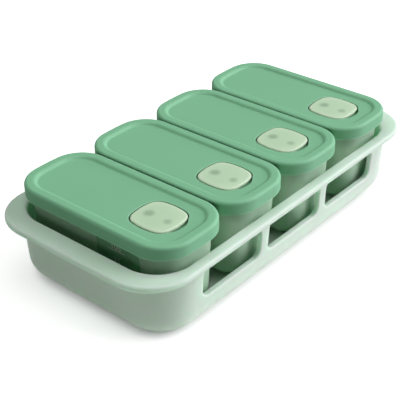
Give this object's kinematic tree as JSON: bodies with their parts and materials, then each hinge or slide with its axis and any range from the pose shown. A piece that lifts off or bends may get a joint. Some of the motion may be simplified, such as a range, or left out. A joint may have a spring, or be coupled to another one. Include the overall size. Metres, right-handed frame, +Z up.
{
  "type": "baby food freezer tray",
  "caption": "Tray with windowed long sides and a broad flat rim that holds a row of upright lidded portion jars, each lid with a lifting vent plug.",
  "frame": {"origin": "bottom centre of the tray, on the surface it stands on", "axes": "+X along the row of jars, +Y across the tray away from the vent plugs, +Z up"},
  "size_m": [0.22, 0.1136, 0.0516],
  "materials": {
    "tray_plastic": "satin moulded polypropylene, pale mint",
    "jar_plastic": "smoky green translucent polypropylene, polished",
    "lid_plastic": "mid green polypropylene, fine satin",
    "seal_silicone": "milky silicone",
    "plug_silicone": "pale green translucent silicone, satin"
  },
  "bodies": {
    "tray": {"tray": "tray_plastic"},
    "jar_1": {"jar_1": "jar_plastic"},
    "lid_1": {"lid_1": "lid_plastic", "lid_seal_1": "seal_silicone", "vent_anchor_1": "plug_silicone"},
    "vent_flap_1": {"vent_flap_1": "plug_silicone"},
    "jar_2": {"jar_2": "jar_plastic"},
    "lid_2": {"lid_2": "lid_plastic", "lid_seal_2": "seal_silicone", "vent_anchor_2": "plug_silicone"},
    "vent_flap_2": {"vent_flap_2": "plug_silicone"},
    "jar_3": {"jar_3": "jar_plastic"},
    "lid_3": {"lid_3": "lid_plastic", "lid_seal_3": "seal_silicone", "vent_anchor_3": "plug_silicone"},
    "vent_flap_3": {"vent_flap_3": "plug_silicone"},
    "jar_4": {"jar_4": "jar_plastic"},
    "lid_4": {"lid_4": "lid_plastic", "lid_seal_4": "seal_silicone", "vent_anchor_4": "plug_silicone"},
    "vent_flap_4": {"vent_flap_4": "plug_silicone"}
  },
  "joints": [
    {"name": "jar_1_lift", "type": "slide", "parent": "tray", "child": "jar_1", "axis": [0, 0, 1], "range_m": [0, 0.055]},
    {"name": "lid_1_lift", "type": "slide", "parent": "jar_1", "child": "lid_1", "axis": [0, 0, 1], "range_m": [0, 0.02]},
    {"name": "vent_1_hinge", "type": "hinge", "parent": "lid_1", "child": "vent_flap_1", "pos_m": [-0.07245, -0.0243, 0.0506], "axis": [-1, 0, 0], "range_deg": [0, 70], "stiffness_Nm_per_rad": 0.0005},
    {"name": "jar_2_lift", "type": "slide", "parent": "tray", "child": "jar_2", "axis": [0, 0, 1], "range_m": [0, 0.055]},
    {"name": "lid_2_lift", "type": "slide", "parent": "jar_2", "child": "lid_2", "axis": [0, 0, 1], "range_m": [0, 0.02]},
    {"name": "vent_2_hinge", "type": "hinge", "parent": "lid_2", "child": "vent_flap_2", "pos_m": [-0.02415, -0.0243, 0.0506], "axis": [-1, 0, 0], "range_deg": [0, 70], "stiffness_Nm_per_rad": 0.0005},
    {"name": "jar_3_lift", "type": "slide", "parent": "tray", "child": "jar_3", "axis": [0, 0, 1], "range_m": [0, 0.055]},
    {"name": "lid_3_lift", "type": "slide", "parent": "jar_3", "child": "lid_3", "axis": [0, 0, 1], "range_m": [0, 0.02]},
    {"name": "vent_3_hinge", "type": "hinge", "parent": "lid_3", "child": "vent_flap_3", "pos_m": [0.02415, -0.0243, 0.0506], "axis": [-1, 0, 0], "range_deg": [0, 70], "stiffness_Nm_per_rad": 0.0005},
    {"name": "jar_4_lift", "type": "slide", "parent": "tray", "child": "jar_4", "axis": [0, 0, 1], "range_m": [0, 0.055]},
    {"name": "lid_4_lift", "type": "slide", "parent": "jar_4", "child": "lid_4", "axis": [0, 0, 1], "range_m": [0, 0.02]},
    {"name": "vent_4_hinge", "type": "hinge", "parent": "lid_4", "child": "vent_flap_4", "pos_m": [0.07245, -0.0243, 0.0506], "axis": [-1, 0, 0], "range_deg": [0, 70], "stiffness_Nm_per_rad": 0.0005}
  ]
}
